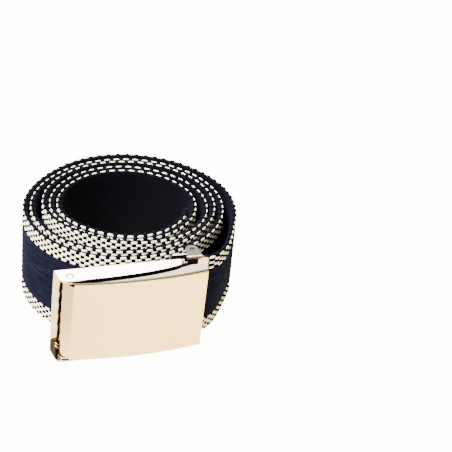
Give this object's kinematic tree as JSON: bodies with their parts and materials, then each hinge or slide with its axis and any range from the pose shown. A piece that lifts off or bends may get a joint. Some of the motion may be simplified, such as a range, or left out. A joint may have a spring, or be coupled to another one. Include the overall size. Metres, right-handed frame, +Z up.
{
  "type": "web belt",
  "caption": "Rolled canvas web belt with a flip-top clamp buckle whose cover turns on a pin to grip or free the strap.",
  "frame": {"origin": "centre of the bounding box at its base, on the surface the rolled strap lies on", "axes": "+Z up across the strap's width, -Y the way the buckle's cover faces, +X along the buckle from its cover pin to its end clamp"},
  "size_m": [0.088, 0.1034, 0.0431],
  "materials": {
    "navy_canvas": "matt woven cotton",
    "frame_nickel": "satin nickel plate",
    "cover_brushed_nickel": "brushed, warm tinted nickel plate",
    "clamp_nickel": "satin nickel plate",
    "cover_pin_steel": "satin",
    "clamp_pin_steel": "satin"
  },
  "bodies": {
    "strap_and_frame": {"webbing": "navy_canvas", "buckle_frame": "frame_nickel", "cover_pin": "cover_pin_steel", "end_clamp": "clamp_nickel", "clamp_pin": "clamp_pin_steel"},
    "cover": {"buckle_cover": "cover_brushed_nickel"}
  },
  "joints": [
    {"name": "cover_hinge", "type": "hinge", "parent": "strap_and_frame", "child": "cover", "pos_m": [-0.03608, -0.04383, 0.021], "axis": [0, 0.1271, -0.9919], "range_deg": [0, 105]}
  ]
}
